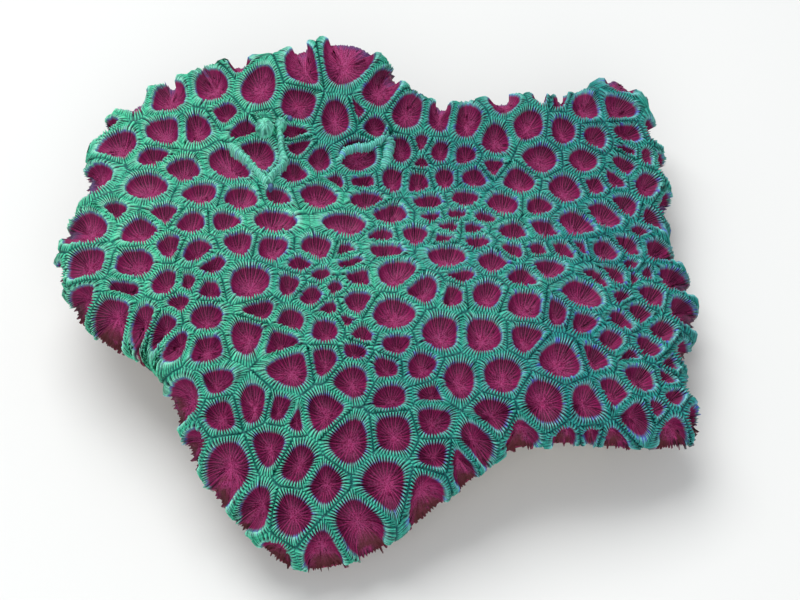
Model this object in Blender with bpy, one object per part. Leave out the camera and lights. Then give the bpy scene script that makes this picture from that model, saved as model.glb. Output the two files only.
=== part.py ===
"""Brain coral: one wavy plate of a honeycomb-like stony coral, cut off flat where it grew."""

import math

import bmesh
import bpy
import numpy as np

# Driving dimensions in millimetres: the plate lies in X and Y, and its height is Z.
MM = 0.001
OUTLINE = [
    (-7, 60), (0, 58), (5, 50), (12, 46), (20, 47), (29, 49), (37, 48), (43, 52),
    (48, 59), (54, 55), (57, 44), (59, 30), (56, 20), (59, 13), (61, 5), (60, -5),
    (56, -13), (57, -21), (59, -29), (52, -31), (45, -33), (37, -33), (30, -34),
    (23, -35), (18, -40), (11, -44), (5, -49), (-2, -52), (-9, -54), (-16, -53),
    (-22, -48), (-28, -42), (-32, -36), (-35, -29), (-38, -21), (-42, -17),
    (-48, -14), (-54, -8), (-59, 2), (-60, 11), (-56, 20), (-58, 34), (-54, 46),
    (-48, 51), (-41, 53), (-32, 56), (-24, 55), (-16, 57),
]
CURVE_STEPS = 6
CORNER_EASING = 14
PLATE_HEIGHT = 20.0
HILLS = [
    # centre x, centre y, rise, width x, width y
    (8, -14, 6.5, 42, 20),
    (-38, 12, 5, 18, 18),
    (-14, 62, 10, 20, 17),
    (36, 52, 5, 20, 14),
    (66, 5, -9, 16, 45),
    (-12, -62, -9, 30, 16),
    (6, 27, -4, 30, 11),
]
EDGE_ROLL = 5.0
LIP_TURN = math.radians(120)
LIP_REACH = EDGE_ROLL * (LIP_TURN - 1)
FRAME_CENTRE = (0.595, 2.461)

# Corallites as seen on the plate: x, y and the radius of the room each takes
CORALLITES = [
    # back left
    (-32.7, 47.3, 4.4), (-35.7, 37.5, 3.9), (-41.9, 37.0, 4.6), (-30.1, 41.0, 3.0),
    (-28.2, 28.1, 5.3), (-43.6, 30.2, 3.2), (-37.3, 25.2, 4.2), (-43.3, 20.4, 4.8),
    (-50.4, 34.0, 4.6), (-55.2, 25.0, 5.0), (-48.8, 46.8, 4.2),
    (-41.8, 45.8, 4.5), (-27.7, 51.0, 2.6), (-23.6, 46.0, 5.0),
    (-25.8, 36.3, 3.6), (-23.7, 31.1, 5.2), (-54.5, 40.5, 3.2), (-22.3, 38.8, 2.3),
    # back
    (-14.3, 49.5, 5.0), (-6.5, 51.0, 6.0), (0.3, 46.0, 4.8), (5.8, 42.0, 4.5),
    (12.4, 41.2, 4.0), (17.7, 40.0, 4.2), (-15.7, 42.6, 4.7),
    (-8.2, 39.9, 4.3), (-3.7, 41.4, 2.5), (-0.6, 38.9, 3.2), (-16.3, 36.9, 3.1),
    (-15.3, 34.0, 2.9), (-11.5, 31.2, 3.3), (-3.8, 32.6, 4.7), (4.8, 34.7, 3.4),
    (8.7, 36.2, 2.7), (8.9, 32.1, 2.2), (12.3, 34.4, 3.2), (17.4, 33.5, 3.4),
    (-15.8, 27.6, 3.2), (-8.0, 26.3, 2.2), (-2.6, 27.3, 3.3), (3.0, 27.9, 3.4),
    (8.1, 27.4, 3.4), (13.2, 28.5, 3.3), (18.9, 28.5, 3.7),
    # back right
    (29.9, 39.5, 4.1), (37.0, 38.7, 3.8), (23.1, 36.8, 4.0), (22.5, 30.9, 3.0),
    (32.1, 32.7, 4.3), (40.7, 33.0, 4.1), (42.9, 38.2, 3.4), (41.3, 44.5, 3.8),
    (36.3, 46.0, 3.0), (33.0, 46.5, 2.5), (25.5, 44.5, 3.6), (48.6, 45.6, 3.9),
    (49.0, 51.8, 2.8), (50.2, 40.9, 3.5), (50.0, 36.8, 2.7), (53.5, 36.6, 2.5),
    (49.0, 33.2, 3.5), (58.0, 37.0, 3.2), (55.5, 43.0, 2.8),
    # left
    (-33.3, 18.2, 4.2), (-25.7, 17.5, 4.3), (-49.2, 13.5, 2.5), (-39.5, 11.3, 3.2),
    (-34.3, 9.0, 3.7), (-28.0, 9.7, 3.6), (-43.6, 7.1, 4.3), (-54.0, 9.5, 5.0),
    (-37.9, 3.0, 3.5), (-32.7, 1.6, 3.9), (-25.0, 4.2, 3.9), (-43.8, -0.5, 4.5),
    (-53.3, 0.8, 4.8), (-29.9, -1.6, 3.3), (-37.9, -5.4, 3.4), (-33.9, -5.8, 2.8),
    (-29.9, -7.5, 3.2), (-22.7, -5.7, 5.0), (-35.0, -9.9, 3.0), (-45.5, -6.4, 3.5),
    (-54.3, -6.5, 4.5), (-60.5, 1.5, 3.0), (-47.5, -11.5, 5.2), (-41.7, -13.1, 4.0),
    (-37.6, -14.9, 3.9), (-34.8, -17.8, 3.6), (-30.3, -13.4, 4.2), (-29.9, -19.2, 3.9),
    (-22.5, -17.0, 4.2), (-20.7, -12.0, 3.6), (-27.9, -26.3, 3.5), (-33.4, -28.5, 4.4),
    (-26.8, -31.9, 3.9), (-21.0, -30.4, 3.9),
    # middle
    (-19.0, 19.5, 2.9), (-11.1, 21.8, 4.4), (-2.0, 21.7, 3.9), (2.5, 17.0, 4.3),
    (-5.5, 12.5, 4.9), (1.0, 9.1, 3.2), (7.5, 9.9, 3.6), (1.8, 4.0, 3.5),
    (-6.2, 3.3, 2.9), (-4.6, 0.1, 3.1), (-10.7, 3.9, 4.1), (-13.5, -0.4, 3.0),
    (-19.3, 11.2, 4.7), (-19.2, 3.6, 4.0), (-9.9, -3.6, 2.8), (-2.9, -3.8, 3.5),
    (3.7, -2.8, 5.0), (8.6, -6.7, 4.6), (-7.4, -6.6, 2.7), (-15.5, -6.2, 3.3),
    (-11.4, -8.4, 3.2), (-3.1, -10.1, 3.8), (-8.0, -11.6, 2.7), (3.5, -12.9, 5.0),
    (13.4, 2.6, 4.6), (15.6, -3.0, 3.2), (13.7, -7.9, 3.5), (20.2, -7.6, 4.1),
    (10.1, 21.7, 3.4), (17.2, 22.9, 3.6), (10.6, 16.8, 2.5), (15.4, 17.5, 2.8),
    (20.6, 16.4, 3.0), (14.0, 12.7, 3.0), (18.2, 12.7, 2.8), (12.6, 8.6, 2.9),
    (18.9, 7.5, 3.0), (21.5, 1.5, 3.9),
    # right
    (27.7, 27.4, 4.2), (24.3, 21.1, 4.3), (31.2, 20.5, 3.6), (36.7, 26.0, 4.4),
    (42.6, 27.9, 3.2), (46.9, 29.9, 3.2), (53.2, 30.0, 4.0), (48.3, 23.7, 3.8),
    (44.0, 20.0, 4.5), (38.2, 16.0, 4.7), (32.2, 13.2, 3.8), (25.9, 11.6, 3.8),
    (25.4, 5.2, 3.1), (30.4, 6.0, 3.0), (34.7, 7.0, 3.2), (38.4, 8.7, 2.4),
    (43.4, 9.0, 3.8), (48.1, 12.1, 3.6), (53.3, 22.3, 2.8), (50.7, 17.0, 2.2),
    (58.0, 27.5, 3.8), (54.0, 13.0, 3.8), (56.3, 5.3, 4.2), (48.0, 6.7, 2.5),
    (51.2, 5.1, 2.5), (47.9, 2.3, 2.3), (44.5, 2.2, 3.2), (40.9, -0.3, 3.3),
    (31.9, 1.0, 3.7), (26.7, -2.6, 3.4), (37.9, -5.2, 5.0), (27.0, -9.8, 4.5),
    (32.9, -10.7, 3.6), (37.5, -11.9, 3.7), (44.7, -9.7, 3.2), (48.4, -6.7, 3.6),
    (45.3, -3.6, 2.6), (51.7, -0.8, 4.0), (57.0, -2.0, 4.2), (52.3, -9.6, 3.6),
    (57.0, -12.0, 3.0),
    # front right
    (19.2, -17.4, 4.7), (26.9, -17.5, 3.9), (32.7, -21.7, 5.2), (22.5, -25.5, 4.9),
    (39.0, -20.0, 3.5), (42.5, -15.2, 3.5), (45.6, -17.6, 2.8), (49.3, -14.7, 3.4),
    (47.3, -22.4, 4.1), (51.5, -21.4, 2.8), (53.0, -17.2, 2.3), (53.2, -24.8, 2.8),
    (58.5, -27.5, 4.0), (58.0, -19.5, 2.8), (42.3, -26.6, 3.8), (37.0, -29.0, 4.5),
    (29.6, -29.5, 5.2), (20.8, -32.3, 4.3), (18.0, -36.8, 4.2), (25.9, -35.0, 3.8),
    (33.8, -35.3, 2.8), (38.2, -34.5, 2.6), (42.0, -35.0, 3.0), (45.8, -30.1, 3.7),
    (49.5, -28.2, 2.7), (53.2, -31.0, 3.4),
    # front
    (-15.0, -14.4, 3.5), (-8.6, -16.4, 3.5), (-5.1, -14.3, 2.4), (-2.3, -17.5, 2.9),
    (3.9, -19.4, 3.7), (11.6, -17.1, 4.8), (-16.5, -18.8, 3.8), (-14.8, -23.8, 4.5),
    (-8.7, -22.6, 3.6), (-3.5, -20.9, 3.1), (2.1, -24.1, 3.4), (8.3, -23.7, 4.0),
    (14.8, -26.3, 4.4), (-4.0, -26.4, 4.2), (2.8, -29.6, 3.9), (10.0, -29.0, 3.3),
    (-16.8, -31.2, 3.4), (-13.6, -33.0, 2.7), (-8.3, -31.9, 4.4), (-4.2, -36.5, 5.0),
    (3.3, -35.6, 4.8), (9.9, -33.5, 3.9), (-17.9, -37.3, 4.2), (-13.0, -40.1, 4.2),
    (-8.5, -43.1, 4.0), (1.9, -43.3, 5.2), (-14.0, -47.9, 4.3), (-2.5, -49.5, 5.0),
    (-8.6, -54.0, 4.2), (-17.8, -54.0, 3.4), (-19.9, -46.6, 3.9), (9.3, -45.0, 4.6),
    (10.3, -39.4, 3.8), (15.5, -40.2, 3.7), (-25.5, -40.5, 5.4), (-32.0, -36.0, 3.6),
]
# The outer rooms are bounded by ghosts: mirror images across the lip, and a ring further out
MIRROR_DEPTH = 14.0
RING_DISTANCE = 11.0
RING_RADIUS = 4.0
ROOM_LIMIT = 20.0
SHORTEST_SIDE = 0.7
LONGEST_SIDE = 10.0
WALL_RISE = 0.6
WALL_HALF = 0.95
PIT_SLOPE = 0.8
PIT_DEPTH = 2.0
OPEN_DEPTH = 0.2
PIT_LIMIT = 1.05
LEAST_ROOM = 1.2
UNDERSIDE_TUCK = (2.6, 1.6)
UNDERSIDE_STEPS = (0.8, 0.65, 0.53, 0.45)
UNDERSIDE_SMOOTHING = 6
KNOB_AT = (-22.3, 38.8)
KNOB_RISE = 2.4
TALL_WALLS = [
    # x, y, extra height, reach
    (-27.6, 32.2, 1.0, 1.2), (-25.8, 29.5, 1.3, 1.2), (-23.9, 26.9, 1.3, 1.2),
    (-21.5, 24.2, 1.3, 1.2), (-19.6, 27.4, 1.3, 1.2), (-18.1, 31.0, 1.6, 1.2),
    (-19.0, 34.2, 1.6, 1.2), (-19.8, 36.4, 1.8, 1.2), (1.9, 38.2, 2.6, 0.9),
    (2.0, 35.9, 1.4, 1.3), (1.0, 33.6, 0.8, 1.6), (-3.0, 36.3, 0.9, 2.4),
]


def closed_curve(points):
    """Smooth closed curve through the points, CURVE_STEPS to each span."""
    here = np.array(points, float)
    before, after, later = np.roll(here, 1, 0), np.roll(here, -1, 0), np.roll(here, -2, 0)
    t = np.linspace(0, 1, CURVE_STEPS, endpoint=False)[:, None, None]
    curve = 0.5 * (
        2 * here
        + (after - before) * t
        + (2 * before - 5 * here + 4 * after - later) * t**2
        + (3 * here - before - 3 * after + later) * t**3
    )
    return curve.transpose(1, 0, 2).reshape(-1, 2)


def eased(curve):
    """The same closed curve with its corners worn round."""
    for _ in range(CORNER_EASING):
        curve = curve / 2 + (np.roll(curve, 1, 0) + np.roll(curve, -1, 0)) / 4
    return curve


EDGE = eased(closed_curve(OUTLINE))


def edge_distance(points):
    """How far each point lies inside the outline, and the direction out across the edge."""
    start, end = EDGE, np.roll(EDGE, -1, 0)
    along = end - start
    offset = points[:, None] - start
    t = np.clip((offset * along).sum(2) / (along**2).sum(1), 0, 1)
    away = offset - t[..., None] * along
    near = (away**2).sum(2).argmin(1)
    away = away[np.arange(len(points)), near]
    distance = np.maximum(np.linalg.norm(away, axis=1), 1e-9)
    x, y = points[:, :1], points[:, 1:]
    spans = (start[:, 1] > y) != (end[:, 1] > y)
    rise = np.where(along[:, 1] == 0, 1e-9, along[:, 1])
    crossing = start[:, 0] + (y - start[:, 1]) * along[:, 0] / rise
    inside = (spans & (x < crossing)).sum(1) % 2 == 1
    sign = np.where(inside, 1, -1)
    return distance * sign, -away / distance[:, None] * sign[:, None]


def height(plan):
    """Height of the plate's top over each plan point."""
    z = np.full(len(plan), PLATE_HEIGHT)
    for x, y, rise, wide, deep in HILLS:
        z += rise * np.exp(-0.5 * (((plan[:, 0] - x) / wide) ** 2 + ((plan[:, 1] - y) / deep) ** 2))
    return z


def plate(points, rise=0.0):
    """Places flat, unrolled points on the plate, each lifted off it by its rise.

    The plate's edge rolls over and under, and the rise is along the plate's normal.
    """
    inside, outward = edge_distance(points)
    past = np.maximum(EDGE_ROLL - inside, 0)
    turn = past / EDGE_ROLL
    plan = points + outward * (EDGE_ROLL * np.sin(turn) - past)[:, None]
    z = height(plan)
    step = 0.1
    slope_x = (height(plan + [step, 0]) - z) / step
    slope_y = (height(plan + [0, step]) - z) / step
    up = np.column_stack([-slope_x, -slope_y, np.ones(len(plan))])
    up /= np.linalg.norm(up, axis=1)[:, None]
    out = np.column_stack([outward, np.zeros(len(plan))])
    normal = out * np.sin(turn)[:, None] + up * np.cos(turn)[:, None]
    place = np.column_stack([plan, z - EDGE_ROLL * (1 - np.cos(turn))])
    return place + normal * np.reshape(rise, (-1, 1))


def ghosts_of(centres, radii):
    """Centres and radii of the ghosts that bound the outer rooms at the lip."""
    inside, outward = edge_distance(centres)
    to_lip = inside + LIP_REACH
    near = to_lip < MIRROR_DEPTH
    mirrored = centres[near] + outward[near] * 2 * to_lip[near, None]
    along = np.roll(EDGE, -1, 0) - np.roll(EDGE, 1, 0)
    out = np.column_stack([-along[:, 1], along[:, 0]]) / np.linalg.norm(along, axis=1)[:, None]
    ring = (EDGE + out * (LIP_REACH + RING_DISTANCE))[::3]
    ring = ring[edge_distance(ring)[0] < 0.5 - LIP_REACH - RING_DISTANCE]
    ghost_radii = np.concatenate([radii[near], np.full(len(ring), RING_RADIUS)])
    return np.vstack([mirrored, ring]), ghost_radii


def cell_of(index, centres, radii):
    """Corners of the room of one corallite, bounded by its neighbours' rooms."""
    centre, weight = centres[index], radii[index] ** 2
    corners = [centre + ROOM_LIMIT * np.array(c) for c in ((-1, -1), (1, -1), (1, 1), (-1, 1))]
    offsets = centres - centre
    distances = (offsets**2).sum(1)
    for other in np.argsort(distances)[1:60]:
        limit = (distances[other] + weight - radii[other] ** 2) / 2
        over = [float((c - centre) @ offsets[other]) - limit for c in corners]
        kept = []
        for k, corner in enumerate(corners):
            after = (k + 1) % len(corners)
            if over[k] <= 0:
                kept.append(corner)
            if (over[k] <= 0) != (over[after] <= 0):
                share = over[k] / (over[k] - over[after])
                kept.append(corner + (corners[after] - corner) * share)
        corners = kept
    return np.array(corners)


def grow_corallites():
    """Centres, radii and rooms of all corallites."""
    centres = np.array([c[:2] for c in CORALLITES], float)
    radii = np.array([c[2] for c in CORALLITES])
    ghosts, ghost_radii = ghosts_of(centres, radii)
    all_centres = np.vstack([centres, ghosts])
    all_radii = np.concatenate([radii, ghost_radii])
    rooms = [cell_of(i, all_centres, all_radii) for i in range(len(centres))]
    return centres, radii, rooms


def lay_out(bm, rooms):
    """One flat face for each room, with near junctions joined and long sides split.

    Returns the layer that holds each face's room number.
    """
    number = bm.faces.layers.int.new("room")
    for i, room in enumerate(rooms):
        bm.faces.new([bm.verts.new((x, y, 0)) for x, y in room])[number] = i
    bmesh.ops.remove_doubles(bm, verts=bm.verts, dist=SHORTEST_SIDE)
    for edge in [e for e in bm.edges if e.calc_length() > LONGEST_SIDE]:
        bmesh.utils.edge_split(edge, edge.verts[0], 0.5)
    for edge in [e for e in bm.edges if e.is_boundary]:
        bmesh.utils.edge_split(edge, edge.verts[0], 0.5)
    return number


def middle_of(corners, centre):
    """The corallite's own centre, or its room's middle where that centre is close to a wall."""
    run = np.roll(corners, -1, 0) - corners
    across = np.column_stack([run[:, 1], -run[:, 0]]) / np.linalg.norm(run, axis=1)[:, None]
    to_walls = ((corners - centre) * across).sum(1)
    return centre if to_walls.min() > LEAST_ROOM else corners.mean(0)


def wall_rise(point):
    """Height of a wall's top at one flat point."""
    extra = 0.0
    for x, y, rise, reach in TALL_WALLS:
        extra += rise * math.exp(-0.5 * ((point[0] - x) ** 2 + (point[1] - y) ** 2) / reach**2)
    return WALL_RISE + extra


def inset(bm, face):
    """Insets one face, and pairs each new vertex with the one it came from."""
    bmesh.ops.inset_individual(bm, faces=[face], thickness=0.01)
    ring = set(face.verts)
    pairs = []
    for vert in face.verts:
        for edge in vert.link_edges:
            if edge.other_vert(vert) not in ring:
                pairs.append((vert, edge.other_vert(vert)))
    return pairs


def build_colony():
    centres, radii, rooms = grow_corallites()
    bm = bmesh.new()
    number = lay_out(bm, rooms)
    flat = {v: np.array(v.co[:2]) for v in bm.verts}
    for vert in bm.verts:
        if vert.is_boundary:
            inside, outward = edge_distance(flat[vert][None])
            flat[vert] = flat[vert] + outward[0] * (inside[0] + LIP_REACH)
    opened = {v: v.is_boundary and len(v.link_faces) < 2 for v in bm.verts}
    rise = {v: -OPEN_DEPTH if opened[v] else wall_rise(flat[v]) for v in bm.verts}

    # Each room gets its wall top, its pit's slope and its pit's floor.
    for face in list(bm.faces):
        corners = np.array([flat[v] for v in face.verts])
        middle = middle_of(corners, centres[face[number]])
        radius = radii[face[number]]
        knob = np.linalg.norm(middle - KNOB_AT) < 1.5
        room = np.linalg.norm(corners - middle, axis=1)
        scale = min(1.0, room.min() / 3.0)
        before = {v: v for v in face.verts}
        for wall, lip, depth in (
            (WALL_HALF, 0.3, 0),
            (WALL_HALF + PIT_SLOPE, 0.9, PIT_DEPTH),
        ):
            pairs = inset(bm, face)
            after = {}
            for vert, outer in pairs:
                first = before[outer]
                after[vert] = first
                out = flat[first] - middle
                reach = np.linalg.norm(out)
                keep = reach - (lip if opened[first] else 1.12 * wall * scale)
                if depth and not opened[first]:
                    keep = min(keep, PIT_LIMIT * radius)
                flat[vert] = middle + out * keep / reach
                if knob:
                    rise[vert] = WALL_RISE + KNOB_RISE * (0.6 if depth == 0 else 1)
                else:
                    rise[vert] = -depth * scale if depth else rise[first]
            before = after
        face.material_index = 1
        floor = bmesh.ops.poke(bm, faces=[face])
        for vert in floor["verts"]:
            flat[vert] = middle
            rise[vert] = WALL_RISE + KNOB_RISE if knob else -PIT_DEPTH * scale - 0.3

    # The flat network is bent over the plate.
    verts = list(bm.verts)
    places = plate(np.array([flat[v] for v in verts]), [rise[v] for v in verts])
    for vert, place in zip(verts, places):
        vert.co = place

    # The bare underside runs from the lip in to a flat foot.
    tuck_in, tuck_down = UNDERSIDE_TUCK
    foot = UNDERSIDE_STEPS[-1]
    loop = [e for e in bm.edges if e.is_boundary]
    under = {}
    for scale in (1.0, *UNDERSIDE_STEPS):
        grown = bmesh.ops.extrude_edge_only(bm, edges=loop)["geom"]
        loop = [g for g in grown if isinstance(g, bmesh.types.BMEdge) and g.is_boundary]
        ring = {v for e in loop for v in e.verts}
        for vert in ring:
            if scale == 1.0:
                x, y, z = vert.co
                shrink = 1 - tuck_in / math.hypot(x, y)
                under[vert] = np.array([x * shrink, y * shrink, z - tuck_down])
            else:
                source = next(e.other_vert(vert) for e in vert.link_edges if not e.is_boundary)
                under[vert] = under[source]
        for _ in range(UNDERSIDE_SMOOTHING):
            eased = {}
            for vert in ring:
                sides = [under[e.other_vert(vert)] for e in vert.link_edges if e.is_boundary]
                eased[vert] = under[vert] / 2 + (sides[0] + sides[1]) / 4
            under.update(eased)
        fall = max((scale - foot) / (1 - foot), 0) ** 0.7
        for vert in ring:
            x, y, z = under[vert]
            vert.co = (x * scale, y * scale, z * fall)
    foot_face = bmesh.ops.contextual_create(bm, geom=loop)["faces"][0]
    foot_face.material_index = 2
    bmesh.ops.recalc_face_normals(bm, faces=bm.faces)
    if bm.calc_volume(signed=True) < 0:
        bmesh.ops.reverse_faces(bm, faces=bm.faces)
    bmesh.ops.translate(bm, verts=bm.verts, vec=(-FRAME_CENTRE[0], -FRAME_CENTRE[1], 0))
    bmesh.ops.scale(bm, verts=bm.verts, vec=(MM, MM, MM))
    bmesh.ops.triangulate(bm, faces=bm.faces)

    mesh = bpy.data.meshes.new("colony")
    bm.to_mesh(mesh)
    bm.free()
    colony = bpy.data.objects.new("colony", mesh)
    for name, colour in (
        ("living wall", (0.10, 0.62, 0.42, 1)),
        ("living disc", (0.30, 0.02, 0.09, 1)),
        ("bare skeleton", (0.55, 0.50, 0.42, 1)),
    ):
        material = bpy.data.materials.new(name)
        material.use_nodes = True
        material.node_tree.nodes["Principled BSDF"].inputs["Base Color"].default_value = colour
        mesh.materials.append(material)
    return colony


for leftover in list(bpy.data.objects):
    bpy.data.objects.remove(leftover)
collection = bpy.data.collections.new("brain coral")
bpy.context.scene.collection.children.link(collection)
collection.objects.link(build_colony())
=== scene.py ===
# %% [markdown]
# # A living plate of honeycomb brain coral
# A brain coral is a colony of hundreds of small polyps that share one limestone skeleton. Each
# polyp sits in a pit, and walls with fine ribs part it from its neighbours. This lesson dresses a
# plain solid of such a colony: the same network of pits is grown again with far finer ribs, and
# each kind of surface gets its own material.

import math
from collections import namedtuple

import bmesh
import bpy
import numpy as np
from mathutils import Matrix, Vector


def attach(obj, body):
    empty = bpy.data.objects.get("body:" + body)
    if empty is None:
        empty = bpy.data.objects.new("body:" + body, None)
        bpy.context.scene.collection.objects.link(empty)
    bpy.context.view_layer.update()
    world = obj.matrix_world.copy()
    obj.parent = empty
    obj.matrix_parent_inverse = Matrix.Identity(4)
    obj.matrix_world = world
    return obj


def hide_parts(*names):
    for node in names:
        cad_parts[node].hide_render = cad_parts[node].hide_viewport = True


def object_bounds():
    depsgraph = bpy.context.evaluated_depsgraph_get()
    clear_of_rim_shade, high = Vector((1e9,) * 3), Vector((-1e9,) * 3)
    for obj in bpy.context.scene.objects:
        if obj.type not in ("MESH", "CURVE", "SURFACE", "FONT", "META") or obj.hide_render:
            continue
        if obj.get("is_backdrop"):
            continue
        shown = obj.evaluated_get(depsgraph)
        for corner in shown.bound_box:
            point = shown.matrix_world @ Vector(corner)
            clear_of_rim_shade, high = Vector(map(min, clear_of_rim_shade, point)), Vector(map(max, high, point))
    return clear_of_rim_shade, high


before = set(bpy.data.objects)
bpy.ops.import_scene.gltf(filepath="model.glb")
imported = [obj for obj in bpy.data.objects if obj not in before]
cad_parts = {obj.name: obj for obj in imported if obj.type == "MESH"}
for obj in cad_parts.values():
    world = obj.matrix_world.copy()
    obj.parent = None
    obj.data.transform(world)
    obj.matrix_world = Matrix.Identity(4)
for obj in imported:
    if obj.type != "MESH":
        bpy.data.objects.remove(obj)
solid_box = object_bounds()
print("solid nodes:", sorted(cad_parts))
print("solid box in mm:", [[round(c * 1000, 1) for c in corner] for corner in solid_box])

# %% [markdown]
# ## The plate's outline
# The colony is a wavy plate, and its outline is a closed curve in plan. It could be drawn as a
# curve object, but everything here has to know how far it lies from the edge, so the outline is
# a list of points, in millimetres, smoothed into a ring of short straight pieces.

# %% Draw the outline
MM = 0.001
TINY = 1e-9
SQUARE = ((-1, -1), (1, -1), (1, 1), (-1, 1))
OUTLINE = [
    (-7, 60), (0, 58), (5, 50), (12, 46), (20, 47), (29, 49), (37, 48), (43, 52),
    (48, 59), (54, 55), (57, 44), (59, 30), (56, 20), (59, 13), (61, 5), (60, -5),
    (56, -13), (57, -21), (59, -29), (52, -31), (45, -33), (37, -33), (30, -34),
    (23, -35), (18, -40), (11, -44), (5, -49), (-2, -52), (-9, -54), (-16, -53),
    (-22, -48), (-28, -42), (-32, -36), (-35, -29), (-38, -21), (-42, -17),
    (-48, -14), (-54, -8), (-59, 2), (-60, 11), (-56, 20), (-58, 34), (-54, 46),
    (-48, 51), (-41, 53), (-32, 56), (-24, 55), (-16, 57),
]
CURVE_STEPS = 6
CORNER_EASING = 14


def closed_curve(points):
    """Smooth closed curve through the points, CURVE_STEPS to each span."""
    here = np.array(points, float)
    before, after, later = np.roll(here, 1, 0), np.roll(here, -1, 0), np.roll(here, -2, 0)
    t = np.linspace(0, 1, CURVE_STEPS, endpoint=False)[:, None, None]
    curve = 0.5 * (
        2 * here
        + (after - before) * t
        + (2 * before - 5 * here + 4 * after - later) * t**2
        + (3 * here - before - 3 * after + later) * t**3
    )
    return curve.transpose(1, 0, 2).reshape(-1, 2)


def eased(curve, rounds):
    """The same closed curve with its corners worn round."""
    for _ in range(rounds):
        curve = curve / 2 + (np.roll(curve, 1, 0) + np.roll(curve, -1, 0)) / 4
    return curve


def left_of(runs):
    """Unit vectors that point to the left of each run."""
    return np.column_stack([-runs[:, 1], runs[:, 0]]) / np.linalg.norm(runs, axis=1)[:, None]


EDGE = eased(closed_curve(OUTLINE), CORNER_EASING)
print("outline points:", len(EDGE))

# %% [markdown]
# ## Bending flat points over the plate
# A growing colony lays its polyps side by side like tiles, over hills and round the edge. So the
# tiles are laid out flat first, and one function then bends each flat point over the plate. Past
# EDGE_ROLL from the edge the plate turns down and under, as the lip of such a coral does.

# %% Measure from the edge
def edge_distance(points):
    """How far each point lies inside the outline, and the direction out across the edge."""
    start, end = EDGE, np.roll(EDGE, -1, 0)
    along = end - start
    offset = points[:, None] - start
    t = np.clip((offset * along).sum(2) / (along**2).sum(1), 0, 1)
    away = offset - t[..., None] * along
    near = (away**2).sum(2).argmin(1)
    away = away[np.arange(len(points)), near]
    distance = np.maximum(np.linalg.norm(away, axis=1), TINY)
    x, y = points[:, :1], points[:, 1:]
    spans = (start[:, 1] > y) != (end[:, 1] > y)
    rise = np.where(along[:, 1] == 0, TINY, along[:, 1])
    crossing = start[:, 0] + (y - start[:, 1]) * along[:, 0] / rise
    inside = (spans & (x < crossing)).sum(1) % 2 == 1
    sign = np.where(inside, 1, -1)
    return distance * sign, -away / distance[:, None] * sign[:, None]


print("the middle is", round(edge_distance(np.zeros((1, 2)))[0][0], 1), "mm from the edge")

# %% Bend points over the plate
PLATE_HEIGHT = 20.0
HILLS = [
    # centre x, centre y, rise, width x, width y
    (8, -14, 6.5, 42, 20),
    (-38, 12, 5, 18, 18),
    (-14, 62, 10, 20, 17),
    (36, 52, 5, 20, 14),
    (66, 5, -9, 16, 45),
    (-12, -62, -9, 30, 16),
    (6, 27, -4, 30, 11),
]
EDGE_ROLL = 5.0
LIP_TURN = math.radians(120)
LIP_REACH = EDGE_ROLL * (LIP_TURN - 1)
FRAME_CENTRE = (0.595, 2.461)
SLOPE_STEP = 0.1
BATCH = 4000


def height(plan):
    """Height of the plate's top over each plan point."""
    z = np.full(len(plan), PLATE_HEIGHT)
    for x, y, rise, wide, deep in HILLS:
        z += rise * np.exp(-0.5 * (((plan[:, 0] - x) / wide) ** 2 + ((plan[:, 1] - y) / deep) ** 2))
    return z


def plate(points, rise):
    """Places flat points on the plate, each lifted off it by its rise along the normal."""
    inside, outward = edge_distance(points)
    past = np.maximum(EDGE_ROLL - inside, 0)
    turn = past / EDGE_ROLL
    plan = points + outward * (EDGE_ROLL * np.sin(turn) - past)[:, None]
    z = height(plan)
    slope_x = (height(plan + [SLOPE_STEP, 0]) - z) / SLOPE_STEP
    slope_y = (height(plan + [0, SLOPE_STEP]) - z) / SLOPE_STEP
    up = np.column_stack([-slope_x, -slope_y, np.ones(len(plan))])
    up /= np.linalg.norm(up, axis=1)[:, None]
    out = np.column_stack([outward, np.zeros(len(plan))])
    normal = out * np.sin(turn)[:, None] + up * np.cos(turn)[:, None]
    place = np.column_stack([plan, z - EDGE_ROLL * (1 - np.cos(turn))])
    return place + normal * np.reshape(rise, (-1, 1))


def bend(points, rise):
    """Bends many flat points over the plate, a few thousand at a time to spare memory."""
    rise = np.broadcast_to(rise, len(points))
    batches = [slice(i, i + BATCH) for i in range(0, len(points), BATCH)]
    return np.vstack([plate(points[batch], rise[batch]) for batch in batches])


print("top of the plate:", bend(np.zeros((1, 2)), 0).round(1)[0], "mm")

# %% [markdown]
# ## The polyps' rooms
# Each pit belongs to one polyp, and its room ends where its neighbours' rooms begin. That is a
# Voronoi diagram with a weight for each polyp's size. A Voronoi texture would give evenly random
# pits, but here each pit has its own place and size, so the rooms are cut from the list below.

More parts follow.
